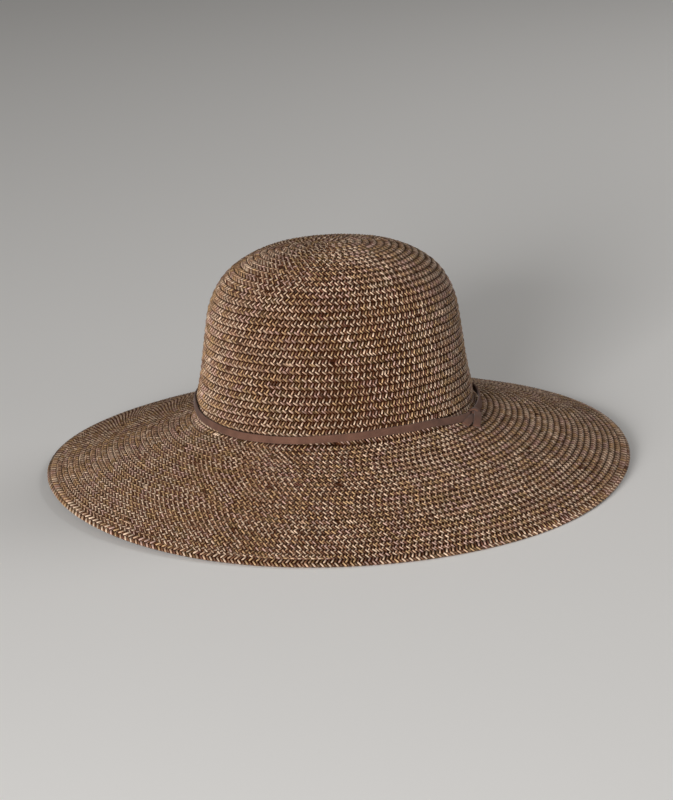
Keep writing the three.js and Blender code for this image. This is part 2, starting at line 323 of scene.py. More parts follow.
def on_brim(turn, share, offset):
    """Places on the brim, by their share of the way from the break to the crest of the edge."""
    inner = on_crown(turn, np.zeros_like(turn), np.zeros_like(turn))
    way = on_edge(turn, EDGE_ROUND * np.ones_like(turn), EDGE_THICKNESS) - inner
    level = np.hypot(way[..., 0], way[..., 1])
    normal = outward(turn) * -way[..., 2:3]
    normal[..., 2] = level
    normal /= np.linalg.norm(normal, axis=-1, keepdims=True)
    place = inner + way * share[..., None] + normal * offset[..., None]
    place[..., 2] += 4 * BRIM_BOW * share * (1 - share)
    return place


front = np.zeros(1)
BRIM_SLANT = float(np.linalg.norm(on_brim(front, front, front) - on_brim(front, front + 1, front)))
EDGE_START = 1 - (EDGE_ROW - EDGE_ROUND) / BRIM_SLANT
BRIM_ROWS = math.floor(BRIM_SLANT * EDGE_START / BRIM_PITCH)
print(f"brim: {BRIM_ROWS} rows on a slant of {BRIM_SLANT:.0f} mm, then the edge row")

# %% [markdown]
# ## The braid's spiral
#
# A row isn't a ring: it is one turn of a spiral, so each row drifts outwards by its own width in a turn.
# At the brim's edge the spiral has to end without a step, so its last row tapers away and slips under the
# edge row, at the wearer's left front. Across a row the braid is domed, and its inner edge laps over the
# row before it, which leaves the small dark step that shows as a seam.

# %% Where the braid ends, and how its rows spread to make room for that
END_TURN = 0.095
END_TAPER = 0.09
LAST_TURN = CROWN_ROWS + BRIM_ROWS + 1
BREAK_SOFT = 0.5
BREAK_REACH = 1.3


def rows_to_edge(spiral):
    """Rows between the break and the edge row at a place on the spiral, which is counted in turns."""
    part = np.mod(spiral, 1)
    taper = ease((part - 1 + END_TAPER) / END_TAPER)
    return BRIM_ROWS + np.where(part < 1 - END_TAPER, part, (1 - END_TAPER) * (1 - taper))


def on_form(spiral, rows, offset):
    turn = END_TURN + spiral
    on_top = on_crown(turn, WALL_LENGTH * (1 - np.minimum(rows, CROWN_ROWS) / CROWN_ROWS), offset)
    share = np.maximum(rows - CROWN_ROWS, 0) / rows_to_edge(spiral) * EDGE_START
    return np.where((rows <= CROWN_ROWS)[..., None], on_top, on_brim(turn, share, offset))


def on_soft_form(spiral, rows, offset):
    """As on_form, with the sharp bend at the break eased over about a row."""
    reach = BREAK_SOFT * np.clip(BREAK_REACH - np.abs(rows - CROWN_ROWS), 0, 1)
    total = 0.5 * on_form(spiral, rows, offset)
    for side in (-1, 1):
        total = total + 0.25 * on_form(spiral, rows + side * reach, offset)
    return total


# %% Across one row: from its inner edge, which laps over the row before, to its outer edge
ROW_SHARE = np.array([0, 0.22, 0.5, 0.78, 1])
ROW_TOP = np.array([-1.65, -1.1, -0.75, -1.1, -1.85])
ROW_UNDER_SHARE = np.array([0, 0.3, 0.7, 1])
ROW_UNDER = np.array([-2.4, -2.75, -2.75, -2.45])


def on_braid(spiral, across, lift, shares=ROW_SHARE, heights=ROW_TOP):
    inner = np.maximum(spiral - 1, 0)
    outer = np.minimum(spiral, CROWN_ROWS + rows_to_edge(spiral))
    outer = np.where(spiral > LAST_TURN - 1, outer, spiral)
    width = np.clip(outer - inner, 0, 1)
    dome = smooth(shares, heights, across)
    base = heights.max()
    return on_soft_form(spiral, inner + across * width, base + (dome - base) * width + lift)


# %% [markdown]
# ## Meshes from arrays
#
# The shells and straws are worked out as arrays of points, because no operator winds a spiral of so
# many rows. One helper makes a mesh from them, and a short one says which body it rides on and which solid
# it replaces.

# %% Array helpers
def mesh_piece(name, points, faces, materials):
    """A mesh object from points in millimetres and a list of face arrays, each with its material index."""
    mesh = bpy.data.meshes.new(name)
    corners = np.concatenate([f.ravel() for f, _ in faces])
    sizes = np.concatenate([np.full(len(f), f.shape[1]) for f, _ in faces])
    slots = np.concatenate([np.full(len(f), slot) for f, slot in faces])
    mesh.vertices.add(len(points))
    mesh.vertices.foreach_set("co", (points * MM).astype(np.float32).ravel())
    mesh.loops.add(len(corners))
    mesh.loops.foreach_set("vertex_index", corners.astype(np.int32))
    mesh.polygons.add(len(sizes))
    starts = np.concatenate([[0], np.cumsum(sizes)[:-1]])
    mesh.polygons.foreach_set("loop_start", starts.astype(np.int32))
    mesh.polygons.foreach_set("material_index", slots.astype(np.int32))
    mesh.polygons.foreach_set("use_smooth", np.ones(len(sizes), bool))
    mesh.update(calc_edges=True)
    for material in materials:
        mesh.materials.append(material)
    piece = bpy.data.objects.new(name, mesh)
    bpy.context.scene.collection.objects.link(piece)
    return piece


def point_attribute(piece, name, kind, values):
    attribute = piece.data.attributes.new(name, kind, "POINT")
    key = "color" if kind == "FLOAT_COLOR" else "vector"
    attribute.data.foreach_set(key, values.astype(np.float32).ravel())


def triangles(piece):
    return sum(len(p.vertices) - 2 for p in piece.data.polygons)


def close_shell(piece):
    """Joins points that fall on each other, fills the cut ends, and turns every face outwards."""
    shell = bmesh.new()
    shell.from_mesh(piece.data)
    bmesh.ops.remove_doubles(shell, verts=shell.verts, dist=0.002 * MM)
    bmesh.ops.holes_fill(shell, edges=[edge for edge in shell.edges if edge.is_boundary], sides=0)
    bmesh.ops.recalc_face_normals(shell, faces=shell.faces)
    bmesh.ops.dissolve_degenerate(shell, edges=shell.edges, dist=0.001 * MM)
    shell.to_mesh(piece.data)
    shell.free()


def hand_over(piece, slot, *nodes):
    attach(piece, "root")
    if nodes:
        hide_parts(*nodes)
    print(f"{piece.name}: {triangles(piece)} triangles")


# %% [markdown]
# ## Straw finishes
#
# The straw is twisted paper: a little fibrous, with a soft sheen, and dyed in stretches, so creams and
# browns follow each other along it. The straws that show carry their own colour as an attribute, with
# painted
# shade towards their seam ends. Inside the hat and under the brim the same braid is drawn by its material:
# slanting straws that meet in the middle of each row, with the gap between them sunk by a bump and darkened
# with painted shade. Between the straws on the outside the shell is coloured near black, painted shade for
# their shaded sides.

# %% The dyes: every one is a little redder than it is green, and greener than it is blue
DYES = {
    "cream": "#c9ad93",
    "blush": "#b89686",
    "sand": "#b59377",
    "gold": "#b2906a",
    "brown": "#6c4933",
    "plum": "#674133",
    "olive": "#60462a",
    "bark": "#512f1b",
}
STRAW_ROUGHNESS = 0.38
STRAW_SHEEN = "#fff0e0"
FIBRE_MM = 0.35
# Painted shade: the braid between the straws is coloured as dark as its shadow
GAP_PAINTED_SHADE_DARK, GAP_PAINTED_SHADE_LIGHT = "#291105", "#45240f"
GAP_MOTTLE_MM = 1.5


def straw_that_shows():
    """Paper straw of many dyes: each straw's colour is its own dye with painted shade towards the seam, and
    fine fibres run over it.
    """
    material = new_material("space_dyed_paper_straw")
    dye = add_node(material, "ShaderNodeAttribute", attribute_name="dye")
    place = add_node(material, "ShaderNodeTexCoord")
    fibres = add_node(
        material, "ShaderNodeTexNoise", {"Vector": (place, "Object")}, Scale=1 / (FIBRE_MM * MM), Detail=2.0
    )
    shade = add_node(material, "ShaderNodeMapRange", {"Value": (fibres, "Fac")}, To_Min=0.82, To_Max=1.16)
    colour = add_node(
        material, "ShaderNodeVectorMath", {0: (dye, "Color"), "Scale": (shade, "Result")}, operation="SCALE"
    )
    bump = add_node(
        material, "ShaderNodeBump", {"Height": (fibres, "Fac")}, Strength=0.3, Distance=0.05 * MM
    )
    shader = add_node(
        material,
        "ShaderNodeBsdfPrincipled",
        {"Base Color": (colour, "Vector"), "Normal": (bump, "Normal")},
        Roughness=STRAW_ROUGHNESS,
        Specular_IOR_Level=0.5,
        Specular_Tint=linear(STRAW_SHEEN),
    )
    return finish_material(material, shader)


def straw_in_the_gaps_painted_shade():
    """Painted shade: the shaded sides of straws deep between those that show, coloured dark and mottled, and
    dull.
    """
    material = new_material("straw_between_the_rows_painted_shade")
    place = add_node(material, "ShaderNodeTexCoord")
    mottle = add_node(
        material,
        "ShaderNodeTexNoise",
        {"Vector": (place, "Object")},
        Scale=1 / (GAP_MOTTLE_MM * MM),
        Detail=3.0,
    )
    colour = add_node(material, "ShaderNodeValToRGB", {"Fac": (mottle, "Fac")})
    colour.color_ramp.elements[0].color = linear(GAP_PAINTED_SHADE_DARK)
    colour.color_ramp.elements[1].color = linear(GAP_PAINTED_SHADE_LIGHT)
    shader = add_node(
        material,
        "ShaderNodeBsdfPrincipled",
        {"Base Color": (colour, "Color")},
        Roughness=0.8,
        Specular_IOR_Level=0.1,
    )
    return finish_material(material, shader)


# %% The braid as its material draws it, where no straws are laid
STRAW_SPACING = 2.1
UNDER_SLANT = 1.6
SEAM_FROM = 0.38
UNDER_DYES = ["cream", "sand", "blush", "gold", "bark", "brown", "olive", "plum"]


def straw_drawn():
    """Braid seen from inside: straws slant away from the middle of each row, and dive at its seams, with
    painted shade darkening the gaps and seams.
    """
    material = new_material("paper_straw_braid_inside")
    where = add_node(material, "ShaderNodeAttribute", attribute_name="braid")
    parts = add_node(material, "ShaderNodeSeparateXYZ", {"Vector": (where, "Vector")})
    work_out = sums_for(material)
    middle = work_out("SUBTRACT", (parts, "Y"), 0.5)
    side = work_out("ABSOLUTE", middle)
    along = work_out("SUBTRACT", (parts, "X"), work_out("MULTIPLY", side, UNDER_SLANT * 2))
    count = work_out("DIVIDE", along, STRAW_SPACING)
    number = work_out("FLOOR", count)
    flank = work_out("GREATER_THAN", middle, 0)
    strand = work_out("FLOORED_MODULO", work_out("ADD", number, flank), 2)
    seed = add_node(material, "ShaderNodeCombineXYZ", {"X": number, "Y": flank, "Z": (parts, "Z")})
    chance = add_node(material, "ShaderNodeTexWhiteNoise", {"Vector": (seed, "Vector")})
    pick = work_out("MULTIPLY", work_out("ADD", strand, (chance, "Value")), 0.5)
    dye = add_node(material, "ShaderNodeValToRGB", {"Fac": pick})
    dye.color_ramp.interpolation = "CONSTANT"
    stops = dye.color_ramp.elements
    stops[1].position = 1 / len(UNDER_DYES)
    for i, name in enumerate(UNDER_DYES):
        stop = stops[i] if i < 2 else stops.new(i / len(UNDER_DYES))
        stop.color = linear(DYES[name])
    wave = work_out("PINGPONG", work_out("FRACT", count), 0.5)
    relief = add_node(
        material, "ShaderNodeMapRange", {"Value": wave}, interpolation_type="SMOOTHSTEP",
        From_Min=0.0, From_Max=0.34,
    )
    seam = add_node(
        material, "ShaderNodeMapRange", {"Value": side},
        From_Min=SEAM_FROM, From_Max=0.5, To_Min=1.0, To_Max=0.2,
    )
    height = work_out("MULTIPLY", (relief, "Result"), (seam, "Result"))
    # Painted shade: the colour darkens to 0.3 of the dye in the gaps between straws and at the seams
    shade = add_node(material, "ShaderNodeMapRange", {"Value": height}, To_Min=0.3, To_Max=1.0)
    colour = add_node(
        material, "ShaderNodeVectorMath", {0: (dye, "Color"), "Scale": (shade, "Result")}, operation="SCALE"
    )
    bump = add_node(material, "ShaderNodeBump", {"Height": height}, Strength=1.0, Distance=0.5 * MM)
    shader = add_node(
        material,
        "ShaderNodeBsdfPrincipled",
        {"Base Color": (colour, "Vector"), "Normal": (bump, "Normal")},
        Roughness=STRAW_ROUGHNESS,
        Specular_IOR_Level=0.3,
    )
    return finish_material(material, shader)


straw_shown = straw_that_shows()
straw_gaps_painted_shade = straw_in_the_gaps_painted_shade()
straw_inside = straw_drawn()
print("straw:", len(DYES), "dyes")

# %% [markdown]
# ## The shell of braid
#
# The shell is a strip wound with the spiral, with an upper and an under side. Each turn's outer edge is
# joined to the next turn's inner edge, so the whole is one closed skin with the step of every seam in it.
# Crown and brim are two stretches of the same strip.

# %% Wind a strip
STEPS = 168


def wind_strip(name, first_turn, last_turn):
    """The shell of a stretch of the spiral: its two sides, the steps at its seams and its closed ends."""
    first, last = first_turn * STEPS, last_turn * STEPS
    spiral = np.arange(first, last + 1) / STEPS
    count = len(spiral)

    def side(shares, heights):
        s, a = np.meshgrid(spiral, shares, indexing="ij")
        return on_braid(s, a, np.zeros_like(s), shares, heights)

    top, under = side(ROW_SHARE, ROW_TOP), side(ROW_UNDER_SHARE, ROW_UNDER)
    points = np.concatenate([top.reshape(-1, 3), under.reshape(-1, 3)])
    tops = np.arange(count * len(ROW_SHARE)).reshape(count, -1)
    unders = tops.size + np.arange(count * len(ROW_UNDER_SHARE)).reshape(count, -1)

    def skin(grid):
        rows = np.stack([grid[:-1, :-1], grid[1:, :-1], grid[1:, 1:], grid[:-1, 1:]], -1).reshape(-1, 4)
        steps = count - 1 - STEPS
        seams = np.stack(
            [grid[:steps, -1], grid[1 : steps + 1, -1], grid[STEPS:-1, 0], grid[STEPS + 1 :, 0]], -1
        )
        return np.concatenate([rows, seams])

    walls = []
    if first_turn > 0:
        k = np.arange(STEPS)
        walls.append(np.stack([tops[k, 0], unders[k, 0], unders[k + 1, 0], tops[k + 1, 0]], -1))
        walls.append(np.array([[tops[STEPS, 0], unders[STEPS, 0], unders[0, -1], tops[0, -1]]]))
    k = np.arange(count - 1 - STEPS, count - 1)
    walls.append(np.stack([tops[k, -1], tops[k + 1, -1], unders[k + 1, -1], unders[k, -1]], -1))
    at = count - 1 - STEPS
    walls.append(np.array([[tops[at, -1], unders[at, -1], unders[-1, 0], tops[-1, 0]]]))
    piece = mesh_piece(
        name,
        points,
        [(skin(tops), 0), (skin(unders)[:, ::-1], 1), (np.concatenate(walls), 0)],
        [straw_gaps_painted_shade, straw_inside],
    )
    lengths = braid_length(spiral)
    facts = []
    for shares in (ROW_SHARE, ROW_UNDER_SHARE):
        s, a = np.meshgrid(lengths, shares, indexing="ij")
        facts.append(np.stack([s, a, np.floor(spiral)[:, None] * np.ones_like(a)], -1).reshape(-1, 3))
    point_attribute(piece, "braid", "FLOAT_VECTOR", np.concatenate(facts))
    close_shell(piece)
    return piece


# %% How much braid lies between the tip and each place on the spiral
FINE = 96
fine_spiral = np.arange(0, LAST_TURN * FINE + 1) / FINE
fine_line = on_braid(fine_spiral, np.full_like(fine_spiral, 0.5), np.zeros_like(fine_spiral))
fine_length = np.concatenate([[0], np.cumsum(np.linalg.norm(np.diff(fine_line, axis=0), axis=1))])


def braid_length(spiral):
    return np.interp(spiral, fine_spiral, fine_length)


def spiral_at(length):
    return np.interp(length, fine_length, fine_spiral)


print(f"braid: {fine_length[-1] / 1000:.1f} m from the tip to its end")

# %% The crown's shell and the brim's
crown_braid = wind_strip("crown_braid", 0, CROWN_ROWS)
hand_over(crown_braid, "straw_braid", "crown")
brim_braid = wind_strip("brim_braid", CROWN_ROWS, LAST_TURN)
hand_over(brim_braid, "straw_braid", "brim")

# %% [markdown]
# ## The straws
#
# In each row the straws come up in the row's middle and slant away to both seams, like a row of arrow
# heads. Each is a small plump form with pointed ends: two rings of four points and a point at each end,
# so tens of thousands of them stay light. Light and dark straws take turns, because two dyed strands cross.

# %% Plump straws between two rows of places
RING_AT = (0.14, 0.82)
ARCH = 0.35
BELLY = 0.7


def plump(starts, ends, ups, width, height):
    """Points and faces of one straw from each start to its end; width and height are half sizes, in mm."""
    way = ends - starts
    way /= np.linalg.norm(way, axis=1, keepdims=True)
    side = np.cross(ups, way)
    side /= np.linalg.norm(side, axis=1, keepdims=True)
    up = np.cross(way, side)
    rings = [starts[:, None]]
    for share in RING_AT:
        centre = starts + (ends - starts) * share + up * height[:, None] * ARCH
        rings.append(
            np.stack(
                [
                    centre + side * width[:, None],
                    centre + up * height[:, None],
                    centre - side * width[:, None],
                    centre - up * height[:, None] * BELLY,
                ],
                1,
            )
        )
    rings.append(ends[:, None])
    points = np.concatenate(rings, 1)
    sides = np.array([[1, 2, 3, 4], [5, 6, 7, 8]])
    turned = np.roll(sides, -1, axis=1)
    tips = np.concatenate(
        [
            np.stack([np.zeros(4, int), turned[0], sides[0]], -1),
            np.stack([np.full(4, 9), sides[1], turned[1]], -1),
        ]
    )
    quads = np.stack([sides[0], turned[0], turned[1], sides[1]], -1)
    base = np.arange(len(starts))[:, None, None] * 10
    return points.reshape(-1, 3), (base + tips).reshape(-1, 3), (base + quads).reshape(-1, 4)


# %% The dye of each straw: two strands take turns, and each changes its dye every straw or two
LIGHT_DYES = ["cream", "sand", "cream", "gold", "blush", "cream", "sand", "gold"]
DARK_DYES = ["brown", "bark", "brown", "plum", "bark", "brown", "olive", "bark"]
DYE_LENGTH = 5
STRAY = 0.008
DYE_SPREAD = 0.15
STRAND_SHIFT = 0.43
STRAND_SEED = 31
# Painted shade: each straw's colour darkens towards its end ring, where it dives into the seam
SEAM_PAINTED_SHADE = np.array([1, 1, 1, 1, 1, 0.8, 0.8, 0.8, 0.8, 0.5])


def dye_straws(rng, lengths, numbers, side):
    """Colours of straws, by where they lie along the braid, their number and their side of the row."""
    colours = np.zeros((len(numbers), 4))
    stray = rng.random(len(numbers)) < STRAY
    for strand, dyes in enumerate((LIGHT_DYES, DARK_DYES)):
        table = np.array([linear(DYES[dye]) for dye in dyes])
        stretches = lengths / DYE_LENGTH + strand * STRAND_SHIFT
        chance = np.random.default_rng(STRAND_SEED + strand)
        picks = chance.integers(0, len(dyes), int(fine_length[-1] / DYE_LENGTH) + 3)
        blur = rng.uniform(0, 1, len(numbers))
        here = table[picks[np.floor(stretches + blur).astype(int)]]
        mine = ((numbers + side) % 2 == strand) ^ stray
        colours[mine] = here[mine]
    colours[:, :3] *= np.clip(rng.normal(1, DYE_SPREAD, (len(numbers), 1)), 0.6, 1.4)
    return np.clip(colours, 0, 1)


def paint_seam_shade(dyes, shade=SEAM_PAINTED_SHADE):
    """Each straw's dye at its ten points, with painted shade: darker where it dives into the seam, out of
    the light.
    """
    shaded = np.repeat(dyes[:, None], 10, axis=1)
    shaded[..., :3] *= shade[:, None]
    return shaded


# %% Lay the straws of a stretch of the spiral: those of the inner flank of the row, then of the outer
FLANKS = [
    {"meet": 0.65, "end": 0.01, "reach": 1.5},
    {"meet": 0.51, "end": 0.99, "reach": 2.8},
]
MEET_WOBBLE = 0.012
PLACE_WOBBLE = 0.08
START_LIFT, END_LIFT = 0.2, 0.15
SHORTEST_STRAW = 1.2
STRAW_HALF = 0.54
STRAW_HEIGHT = 0.6
FIRST_STRAW = 0.45


def lay_straws(name, first_turn, last_turn, seed):
    """The straws of a stretch of the spiral, as one mesh that carries each straw's dye."""
    rng = np.random.default_rng(seed)
    first, last = braid_length(max(first_turn, FIRST_STRAW)), braid_length(last_turn)
    numbers = np.arange(math.ceil(first / STRAW_SPACING), math.floor(last / STRAW_SPACING))
    lengths = numbers * STRAW_SPACING
    sets = []
    for side, flank in enumerate(FLANKS):
        wobble = rng.normal(0, PLACE_WOBBLE, len(numbers))
        start = spiral_at(lengths + wobble)
        end = spiral_at(lengths + wobble + flank["reach"] * rng.uniform(0.85, 1.15, len(numbers)))
        end = np.minimum(end, LAST_TURN - 0.002)
        meet = flank["meet"] + rng.normal(0, MEET_WOBBLE, len(numbers))
        a = on_braid(start, meet, np.full(len(numbers), START_LIFT))
        b = on_braid(end, np.full(len(numbers), flank["end"]), np.full(len(numbers), END_LIFT))
        middle = (start + end) / 2
        share = (meet + flank["end"]) / 2
        low, high = (on_braid(middle, share, np.full(len(numbers), h)) for h in (0.0, 1.0))
        width = STRAW_HALF * rng.uniform(0.88, 1.12, len(numbers))
        height = STRAW_HEIGHT * rng.uniform(0.8, 1.2, len(numbers))
        fits = np.linalg.norm(b - a, axis=1) > SHORTEST_STRAW
        sets.append((a[fits], b[fits], (high - low)[fits], width[fits], height[fits],
                     dye_straws(rng, lengths, numbers, side)[fits]))
    starts, ends, ups, width, height, dyes = (np.concatenate(s) for s in zip(*sets))
    points, tips, quads = plump(starts, ends, ups, width, height)
    piece = mesh_piece(name, points, [(tips, 0), (quads, 0)], [straw_shown])
    # The dye attribute holds each straw's dye with painted shade towards its seam end
    point_attribute(piece, "dye", "FLOAT_COLOR", paint_seam_shade(dyes))
    hand_over(piece, "straw_braid")


STRETCHES = [
    {"name": "straws_crown_top", "first_turn": 0, "last_turn": 25, "seed": 11},
    {"name": "straws_crown_wall", "first_turn": 25, "last_turn": CROWN_ROWS, "seed": 12},
    {"name": "straws_brim_inner", "first_turn": CROWN_ROWS, "last_turn": CROWN_ROWS + 9, "seed": 13},
    {"name": "straws_brim_middle", "first_turn": CROWN_ROWS + 9, "last_turn": CROWN_ROWS + 17, "seed": 14},
    {"name": "straws_brim_outer", "first_turn": CROWN_ROWS + 17, "last_turn": LAST_TURN, "seed": 15},
]
for stretch in STRETCHES:
    lay_straws(**stretch)

# %% [markdown]
# ## The edge row
#
# The last row is rounder and wider than the rest. It covers the end of the spiral, and the hat rests on it.
# Its section is swept round the hat, with a flat foot, and its straws bend over the edge.

# %% Section of the edge, from the seam on top over to the underside
EDGE_SECTION = [(1, 1), (0.25, 0.8), (0, 0.45), (0.12, 0.15), (0.4, 0)]
EDGE_UNDER_STRAWS = -0.85
EDGE_STEPS = 360
EDGE_SEAM = -0.7
CREST_SHARE, CREST_DIP = 0.35, -0.12
EDGE_SHELL_RADIUS = 192
EDGE_STRAW_RADIUS = 194


def edge_stations(turn, lift):
    """Places across the edge row at each turn, lifted off its face: from the seam over to the foot."""
    one = np.ones_like(turn)
    stations = [on_brim(turn, EDGE_START * one, (EDGE_SEAM + lift) * one)]
    crest = EDGE_START + CREST_SHARE * (1 - EDGE_START)
    stations.append(on_brim(turn, crest * one, (CREST_DIP + lift) * one))
    for inward, up in EDGE_SECTION:
        grow_out, grow_up = (1 - inward) * lift, up * lift
        stations.append(on_edge(turn, (inward * EDGE_ROUND - grow_out) * one, up * EDGE_THICKNESS + grow_up))
    return stations


def edge_shell():
    turn = np.arange(EDGE_STEPS) / EDGE_STEPS
    one = np.ones_like(turn)
    foot_end = EDGE_SECTION[-1][0] * EDGE_ROUND + EDGE_FOOT
    stations = edge_stations(turn, EDGE_UNDER_STRAWS)
    stations.append(on_edge(turn, foot_end * one, 0))
    stations.append(on_brim(turn, EDGE_START * one, -WALL * one))
    grid = np.stack(stations, 1)
    points = grid.reshape(-1, 3)
    index = np.arange(len(points)).reshape(EDGE_STEPS, -1)
    nexts = np.roll(index, -1, axis=0)
    around = np.roll(index, -1, axis=1)
    faces = np.stack([index, nexts, np.roll(nexts, -1, axis=1), around], -1)
    top = faces[:, :4].reshape(-1, 4)
    under = faces[:, 4:].reshape(-1, 4)
    piece = mesh_piece("edge_braid", points, [(top, 0), (under, 1)], [straw_gaps_painted_shade, straw_inside])
    lengths = turn * 2 * np.pi * EDGE_SHELL_RADIUS
    across = np.linspace(0, 2, grid.shape[1])
    s, a = np.meshgrid(lengths, across, indexing="ij")
    point_attribute(piece, "braid", "FLOAT_VECTOR", np.stack([s, a, 0 * a], -1).reshape(-1, 3))
    return piece


edge_braid = edge_shell()
hand_over(edge_braid, "straw_edge", "brim_edge")

# %% Straws of the edge row, whose ends are counted in stations from the seam
EDGE_STRAW_HALF = 0.62
EDGE_STRAW_HEIGHT = 0.55
EDGE_SPACING = 2.2
EDGE_INSET = -0.45
EDGE_FLANKS = [
    {"meet": 2.2, "end": -0.35, "reach": 1.7, "extra_height": 0.15},
    {"meet": 1.85, "end": 4.7, "reach": 2.6, "extra_height": 0.35},
]
EDGE_BEND = 3.35
# Painted shade: the edge straws' colour darkens towards their end ring at the seam
EDGE_PAINTED_SHADE = np.array([1, 1, 1, 1, 1, 0.92, 0.92, 0.92, 0.92, 0.75])


def edge_straws():
    """The edge row's straws: short ones up to the seam, and longer ones that bend over the edge."""
    rng = np.random.default_rng(21)
    round_edge = 2 * np.pi * EDGE_STRAW_RADIUS
    count = round(round_edge / EDGE_SPACING)
    numbers = np.arange(count)
    turn = END_TURN + numbers / count + rng.normal(0, 0.1, count) / round_edge

    def on_section(at, place):
        stations = np.stack(edge_stations(at, EDGE_INSET), 0)
        i = np.clip(np.floor(place).astype(int), 0, len(stations) - 2)
        t = (place - i)[:, None]
        pick = np.arange(len(at))
        return stations[i, pick] * (1 - t) + stations[i + 1, pick] * t

    sets = []
    for side, flank in enumerate(EDGE_FLANKS):
        shift = flank["reach"] / round_edge
        a = on_section(turn, np.full(count, flank["meet"]))
        b = on_section(turn + shift, np.full(count, flank["end"]))
        if side == 1:
            middle = on_section(turn + shift * 0.5, np.full(count, EDGE_BEND))
            ups = middle - (a + b) / 2
        else:
            ups = np.tile([0.0, 0.0, 1.0], (count, 1))
        width = EDGE_STRAW_HALF * rng.uniform(0.9, 1.1, count)
        height = EDGE_STRAW_HEIGHT * rng.uniform(0.85, 1.15, count) + flank["extra_height"]
        sets.append((a, b, ups, width, height, dye_straws(rng, numbers * EDGE_SPACING, numbers, side)))
    starts, ends, ups, width, height, dyes = (np.concatenate(s) for s in zip(*sets))
    points, tips, quads = plump(starts, ends, ups, width, height)
    piece = mesh_piece("straws_edge", points, [(tips, 0), (quads, 0)], [straw_shown])
    # The dye attribute holds each edge straw's dye with painted shade towards its seam end
    point_attribute(piece, "dye", "FLOAT_COLOR", paint_seam_shade(dyes, EDGE_PAINTED_SHADE))
    hand_over(piece, "straw_edge")


edge_straws()

# %% [markdown]
# ## The suede lace
#
# A flat strip of brown suede lies round the foot of the crown. It runs a little higher behind than in
# front, and the knot at the wearer's left pulls it off the crown. Its line is the solid lace's, but for a
# droop by the knot, and it gets the soft rounded edges and the slight waver of real suede.

# %% Suede
SUEDE = "#68493b"
SUEDE_DARK = "#4e352a"
NAP_MM = 0.5
PATCH_MM = 9


def brown_suede():
    """Split leather with its nap brushed both ways: mottled, dull, with a soft sheen at a low angle."""
    material = new_material("brown_suede")
    place = add_node(material, "ShaderNodeTexCoord")
    nap = add_node(
        material, "ShaderNodeTexNoise", {"Vector": (place, "Object")}, Scale=1 / (NAP_MM * MM), Detail=4.0
    )
    patches = add_node(
        material, "ShaderNodeTexNoise", {"Vector": (place, "Object")}, Scale=1 / (PATCH_MM * MM), Detail=2.0
    )
    both = sums_for(material)("ADD", (nap, "Fac"), (patches, "Fac"))
    mottle = add_node(material, "ShaderNodeMapRange", {"Value": both}, From_Min=0.7, From_Max=1.3)
    colour = add_node(material, "ShaderNodeValToRGB", {"Fac": (mottle, "Result")})
    colour.color_ramp.elements[0].color = linear(SUEDE_DARK)
    colour.color_ramp.elements[1].color = linear(SUEDE)
    bump = add_node(material, "ShaderNodeBump", {"Height": (nap, "Fac")}, Strength=0.4, Distance=0.12 * MM)
    shader = add_node(
        material,
        "ShaderNodeBsdfPrincipled",
        {"Base Color": (colour, "Color"), "Normal": (bump, "Normal")},
        Roughness=0.92,
        Specular_IOR_Level=0.2,
        Sheen_Weight=0.08,
        Sheen_Roughness=0.5,
    )
    return finish_material(material, shader)


suede = brown_suede()


# %% Sweep a soft flat strip
SOFT_SECTION = [(-1, -0.55), (-0.93, -0.9), (-0.7, -1), (0.7, -1), (0.93, -0.9), (1, -0.55),
                (1, 0.55), (0.93, 0.9), (0.7, 1), (-0.7, 1), (-0.93, 0.9), (-1, 0.55)]


def sweep_strip(name, middles, sides, outs, half_width, half_thick, loop=False):
    """A strip along middles, in mm: sides point across its width, outs through its thickness."""
    section = np.array(SOFT_SECTION)
    grid = (
        middles[:, None]
        + sides[:, None] * (section[:, 0] * half_width)[None, :, None]
        + outs[:, None] * (section[:, 1] * half_thick)[None, :, None]
    )
    rings, ring = grid.shape[:2]
    index = np.arange(rings * ring).reshape(rings, ring)
    turned = np.roll(index, -1, axis=1)
    if loop:
        index, turned = np.vstack([index, index[:1]]), np.vstack([turned, turned[:1]])
    quads = np.stack([index[:-1], index[1:], turned[1:], turned[:-1]], -1).reshape(-1, 4)
    faces = [(quads, 0)] if loop else [(quads, 0), (np.stack([index[0], index[-1][::-1]]), 0)]
    piece = mesh_piece(name, grid.reshape(-1, 3), faces, [suede])
    shell = bmesh.new()
    shell.from_mesh(piece.data)
    bmesh.ops.recalc_face_normals(shell, faces=shell.faces)
    shell.to_mesh(piece.data)
    shell.free()
    return piece


def unit(vectors):
    return vectors / np.linalg.norm(vectors, axis=-1, keepdims=True)


print("strip section:", len(SOFT_SECTION), "points")

# %% The lace's way round the crown from the knot: how high it runs and how far it stands off the crown
GAP = 0.3
LACE_HALF = 2.45
LACE_THICK_HALF = 0.65
LACE_RISE = 4.5
LACE_STAND = 6
KNOT_TURN = 0.288
KNOT_HALF = 0.0076
LACE_WAY = np.array([0, 0.045, 0.1, 0.14, 0.3, 0.5, 0.59, 0.624, 0.666, 0.719, 0.762, 0.819, 0.874, 0.919,
                     0.947, 0.981, 1])
LACE_HIGH = np.array([0.1, 0.5, 0.9, 1.2, 1.8, 2.3, 2.35, 1.6, 1.02, 0.71, 0.82, 1.02, 1.11, 0.93,
                      0.66, 0.12, 0.05])
LACE_OFF = np.array([1, 0.65, 0.1, 0, 0, 0, 0, 0, 0, 0, 0, 0, 0, 0.02, 0.14, 0.66, 0.95])
LACE_ROLL = math.radians(38)
ROLL_REACH = 0.07

# Two slow waves along the lace: how fast each runs and how far it goes, in mm
WAVERS = [(97, 0.14), (31, 0.2)]


